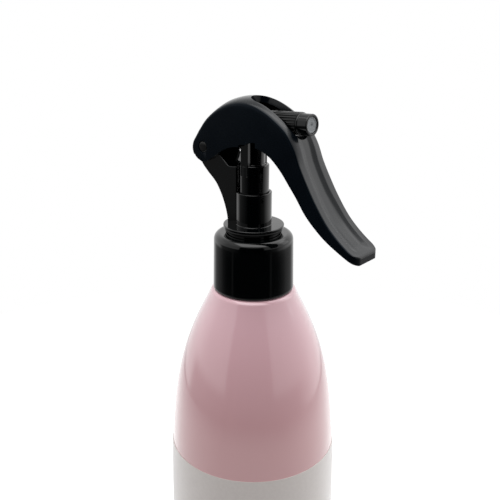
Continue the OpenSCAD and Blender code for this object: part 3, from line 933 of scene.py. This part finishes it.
# ---- studio ----
# Radiance of the light tent by azimuth in degrees, 0 towards the camera and + to the right, from
# the bottom up: LOW under the floor's edge, SILL round the horizon, MID the walls with the dark
# gap in front, TOP over them
TENT_LOW = [(-180, 0.9), (-150, 0.8), (-132, 0.28), (-104, 0.16), (-96, 0.08), (-82, 0.025),
            (-74, 0.02), (-65, 0.015), (-63.5, 0.09), (-61, 0.09), (-58, 0.006), (46, 0.006),
            (49.5, 0.09), (52, 0.09), (54, 0.015), (72, 0.03), (82, 0.06), (96, 0.15), (106, 0.25),
            (132, 0.3), (150, 0.8), (180, 0.9)]
TENT_SILL = [(-180, 1.1), (-112, 0.95), (-100, 0.2), (-84, 0.15), (-60, 0.08), (-44, 0.03),
             (-39, 0.0), (28, 0.0), (46, 0.04), (68, 0.14), (82, 0.55), (104, 1.1), (180, 1.1)]
TENT_MID = [(-180, 1.1), (-104, 1.1), (-86, 0.75), (-60, 0.65), (-43, 0.6), (-39, 0.0), (28, 0.0),
            (32, 0.45), (60, 0.6), (80, 0.75), (104, 1.1), (180, 1.1)]
TENT_TOP = [(-180, 0.9), (95, 0.9), (112, 2.1), (150, 2.1), (180, 0.9)]
# Sines of the elevations between which each turns into the next
LOW_END = (-0.32, -0.295)
SILL_END = (-0.17, -0.04)
MID_END = (0.52, 0.64)
# Where reflections see the white backdrop: behind the object, by y, and under the horizon, by z
BACKDROP_BEHIND = (0.93, 0.97)
BACKDROP_BELOW = (-0.10, -0.16)
# From the radius FADE to the rim the floor's colour falls from LEVEL to RIM_LEVEL, and what it
# adds for rays that see it as background rises from LIFT to 1
FLOOR_R = 0.332
FLOOR_FADE = 0.19
FLOOR_LEVEL = 0.48
FLOOR_RIM_LEVEL = 0.08
FLOOR_LIFT = 0.8
# How far reflections see the floor as background, by azimuth
FLOOR_SEEN = [(-180, 0.8), (-130, 0.8), (-90, 0.4), (-42, 0), (42, 0), (90, 0.4), (130, 0.8),
              (180, 0.8)]
# Softboxes: name, middle, size, radiance, and what they aim at, in the studio's frame
LAMPS = [
    ("lamp_top", (0.0, -0.08, 0.52), (0.44, 0.34), 2.05, (0, 0, 0.15)),
    ("lamp_right", (0.36, 0.10, 0.34), (0.20, 0.30), 0.7, (0.02, 0, 0.17)),
]


def background_rays(tree):
    """1 for camera rays, and 1 for camera, glossy and transmission rays, which see the background."""
    path = tree.nodes.new("ShaderNodeLightPath").outputs
    seen = calc(tree, "MAXIMUM", path["Is Camera Ray"], path["Is Glossy Ray"])
    return path["Is Camera Ray"], calc(tree, "MAXIMUM", seen, path["Is Transmission Ray"])


def levels(tree, azimuth, stops):
    """Grey levels over azimuth, from stops of degrees and level."""
    return colour_ramp(tree, azimuth, [(degrees / 360 + 0.5, (level, level, level))
                                       for degrees, level in stops])


def step(tree, source, start, end):
    """A smooth step of a source from 0 to 1."""
    return map_range(tree, source, start, end, kind="SMOOTHSTEP")


def blend(tree, share, a, b):
    """Colour a where the share is 0, and b where it is 1."""
    first, second, mixed = 6, 7, 2       # a Mix node's sockets for colours
    return add(tree, "ShaderNodeMix", {"Factor": share, first: a, second: b}, mixed, data_type="RGBA")


def studio_axes(tree, coordinate):
    """y, z and azimuth (0 to 1, 0.5 towards the camera) of a coordinate in the studio's frame."""
    place = add(tree, "ShaderNodeTexCoord", {}, coordinate)
    turned = add(tree, "ShaderNodeMapping", {"Vector": place, "Rotation": (0, 0, -TRIGGER_TURN)})
    x, y, z = add(tree, "ShaderNodeSeparateXYZ", {"Vector": turned}).node.outputs
    angle = calc(tree, "ARCTAN2", x, calc(tree, "MULTIPLY", y, -1.0))
    return y, z, calc(tree, "MULTIPLY_ADD", angle, 1 / math.tau, 0.5)


def make_world():
    """A light tent, open in front, with a white backdrop for what sees it past the object."""
    world = bpy.data.worlds.new("tent")
    bpy.context.scene.world = world
    world.use_nodes = True
    tree = world.node_tree
    tree.nodes.clear()
    y, z, azimuth = studio_axes(tree, "Generated")
    light = levels(tree, azimuth, TENT_LOW)
    for end, stops in ((LOW_END, TENT_SILL), (SILL_END, TENT_MID), (MID_END, TENT_TOP)):
        light = blend(tree, step(tree, z, *end), light, levels(tree, azimuth, stops))
    camera_ray, seen = background_rays(tree)
    backdrop = calc(tree, "MULTIPLY", step(tree, y, *BACKDROP_BEHIND), step(tree, z, *BACKDROP_BELOW))
    white = calc(tree, "MAXIMUM", camera_ray, calc(tree, "MULTIPLY", seen, backdrop))
    background = add(tree, "ShaderNodeBackground", {"Color": blend(tree, white, light, (1, 1, 1, 1))})
    tree.links.new(background, tree.nodes.new("ShaderNodeOutputWorld").inputs["Surface"])


def make_lamps():
    for name, middle, size, radiance, aim in LAMPS:
        data = bpy.data.lights.new(name, "AREA")
        data.shape = "RECTANGLE"
        data.size, data.size_y = size
        data.energy = radiance * math.pi * size[0] * size[1]
        lamp = bpy.data.objects.new(name, data)
        bpy.context.scene.collection.objects.link(lamp)
        lamp.location = facing(*middle)
        way = facing(*aim) - lamp.location
        lamp.rotation_euler = way.to_track_quat("-Z", "Y").to_euler()
        lamp.visible_camera = False


def make_floor():
    """A pale disc under the object, of rings round a middle point."""
    n = 96
    rings = 12
    verts = [(0, 0, 0)] + [(r / MM * math.cos(math.tau * k / n), r / MM * math.sin(math.tau * k / n), 0)
                           for r in spread(0, FLOOR_R, rings)[1:] for k in range(n)]
    faces = [(0, 1 + k, 1 + (k + 1) % n) for k in range(n)] + quads(rings - 1, n, first=1)
    floor = placed("floor", verts, faces, Vector)
    look = Look("floor", {"Roughness": 0.9, "Specular IOR Level": 0.0, "Emission Color": (1, 1, 1, 1)})
    tree = look.tree
    radius = add(tree, "ShaderNodeVectorMath", {0: look.place}, "Value", operation="LENGTH")
    edge = step(tree, radius, FLOOR_FADE, FLOOR_R)
    level = calc(tree, "MULTIPLY_ADD", edge, FLOOR_RIM_LEVEL - FLOOR_LEVEL, FLOOR_LEVEL)
    look.link(level, "Base Color")
    lift = calc(tree, "MULTIPLY_ADD", edge, 1 - FLOOR_LIFT, FLOOR_LIFT)
    camera_ray, seen = background_rays(tree)
    seen = calc(tree, "MULTIPLY", seen, levels(tree, studio_axes(tree, "Object")[2], FLOOR_SEEN))
    shown_white = calc(tree, "MAXIMUM", camera_ray, seen)
    look.link(calc(tree, "MULTIPLY", shown_white, lift), "Emission Strength")
    floor.data.materials.append(look.material)


# ---- return spring ----
WIRE_R = 0.35
COIL_R = 2.9
COILS = 9


def make_spring(material):
    """The coil that lifts the plunger, at one fixed length."""
    low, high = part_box("return_spring")
    foot = low[2] / MM + WIRE_R
    rise = high[2] / MM - WIRE_R - foot
    sides = 12
    per_turn = 48
    steps = COILS * per_turn
    verts = []
    for k in range(steps + 1):
        a = math.tau * k / per_turn
        for j in range(sides):
            b = math.tau * j / sides
            r = COIL_R + WIRE_R * math.cos(b)
            z = foot + rise * k / steps + WIRE_R * math.sin(b)
            verts.append((r * math.cos(a), r * math.sin(a), z))
    ends = [tuple(range(sides)), tuple(range(len(verts) - 1, steps * sides - 1, -1))]
    coil = cleaned(placed("coil_spring", verts, quads(steps, sides) + ends, Vector))
    finished(coil, material, "sprayer", "steel", "return_spring")
    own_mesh(coil)


# ---- the whole ----
camera = make_camera()
gloss = black_gloss()
LOOKS = {
    "bottle": make_bottle(rose_plastic()),
    "label": make_label(label_film()),
    "closure": make_closure(gloss),
    "collar": make_collar(gloss),
    "head": make_head(gloss),
    "nozzle": make_nozzle(gloss),
    "insert": make_insert(moulding("insert_grey", (0.22, 0.235, 0.245), (0.25, 0.265, 0.275), 0.35)),
    "trigger": make_trigger(black_satin()),
}

natural = moulding("natural_pp", (0.74, 0.74, 0.70), (0.80, 0.80, 0.76), 0.28, sss=0.1)
seal = moulding("seal_pe", (0.62, 0.62, 0.59), (0.70, 0.70, 0.67), 0.4)
tube = moulding("tube_pe", (0.80, 0.80, 0.78), (0.86, 0.86, 0.84), 0.22, sss=0.15)
metal = steel()
make_spring(metal)
# The pieces inside keep their CAD shapes
INSIDE = {
    "neck_gasket": seal, "pump_housing": natural, "stem_guide": natural, "stem_seal": seal,
    "inlet_ball": metal, "dip_tube": tube, "piston": seal, "plunger_rod": natural,
    "stem": natural, "outlet_ball": metal, "swirl_core": natural, "nozzle_seal": seal,
}
for node, material in INSIDE.items():
    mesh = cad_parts[node].data
    if mesh.materials:
        mesh.materials[0] = material
    else:
        mesh.materials.append(material)

make_world()
make_lamps()
make_floor()
bpy.context.scene.view_settings.view_transform = "Standard"

# ---- what shows of each image point ----
SIGHT_SLACK = 0.15 * MM          # a ray stops short of the vertex that it looks at


def in_picture(place):
    """A place in the row frame as an image point."""
    x, y, z = camera.matrix_world.inverted() @ place
    across = max(W, H) * LENS / SENSOR
    return W / 2 - across * x / z, H / 2 + across * y / z


def tree_of(pieces):
    """Pieces as finished and placed, for rays to meet."""
    verts = []
    faces = []
    for piece in pieces:
        first = len(verts)
        verts += [piece.matrix_world @ v.co for v in piece.data.vertices]
        faces += [[first + v for v in f.vertices] for f in piece.data.polygons]
    return BVHTree.FromPolygons(verts, faces)


def shown(piece, chosen=None):
    """Image points of a piece's vertices that show, or of those that chosen(x, y, height) takes."""
    eye = camera.matrix_world.translation
    found = []
    for v in piece.data.vertices:
        place = piece.matrix_world @ v.co
        if chosen and not chosen(place.x / MM, place.y / MM, place.z / MM - CAP_Z):
            continue
        way = place - eye
        if ALL.ray_cast(eye, way.normalized(), way.length - SIGHT_SLACK)[0] is None:
            found.append(in_picture(place))
    return found


def measured(point, places, kind):
    """How far in x and y a thing shows from its point; edges are read in a band of pixels."""
    band = 4.0
    x, y = point
    if kind == "middle":
        xs, ys = zip(*places)
        return (min(xs) + max(xs)) / 2 - x, (min(ys) + max(ys)) / 2 - y
    if kind in ("left", "right"):
        xs = [p[0] for p in places if abs(p[1] - y) < band]
        return (min(xs) if kind == "left" else max(xs)) - x, 0.0
    ys = [p[1] for p in places if abs(p[0] - x) < band]
    return 0.0, (min(ys) if kind == "top" else max(ys)) - y


def write_points():
    everything = [place for piece in LOOKS.values() for place in shown(piece)]
    collar, trigger = LOOKS["collar"], LOOKS["trigger"]
    closure, label = shown(LOOKS["closure"]), shown(LOOKS["label"])
    sources = {
        "object_left": (everything, "left"), "object_right": (everything, "right"),
        "object_top": (everything, "top"), "closure_left": (closure, "left"),
        "closure_right": (closure, "right"), "closure_foot": (closure, "foot"),
        "label_top": (label, "top"), "label_top_left": (label, "top"),
        "pivot": (shown(collar, lambda x, y, z: y < -6.0 and z > 44), "middle"),
        "nozzle_insert": (shown(LOOKS["insert"]), "middle"),
        "nozzle_front": (shown(LOOKS["nozzle"]), "right"),
        "slot_foot": (shown(trigger, lambda x, y, z: abs(y) < 1.2 and x > 12), "top"),
        "sleeve_mouth": (shown(collar, lambda x, y, z: abs(z - SLEEVE_TOP) < 0.3), "foot"),
        "disc_right": (shown(collar, lambda x, y, z: z < DISC_TOP + 1), "right"),
        "lever_tip_foot": (shown(trigger), "foot"),
    }
    for name, point in POINTS.items():
        try:
            dx, dy = (round(d, 2) for d in measured(point, *sources[name]))
        except ValueError:       # nothing of it shows near the point
            dx = dy = None


ALL = tree_of(LOOKS.values())
write_points()
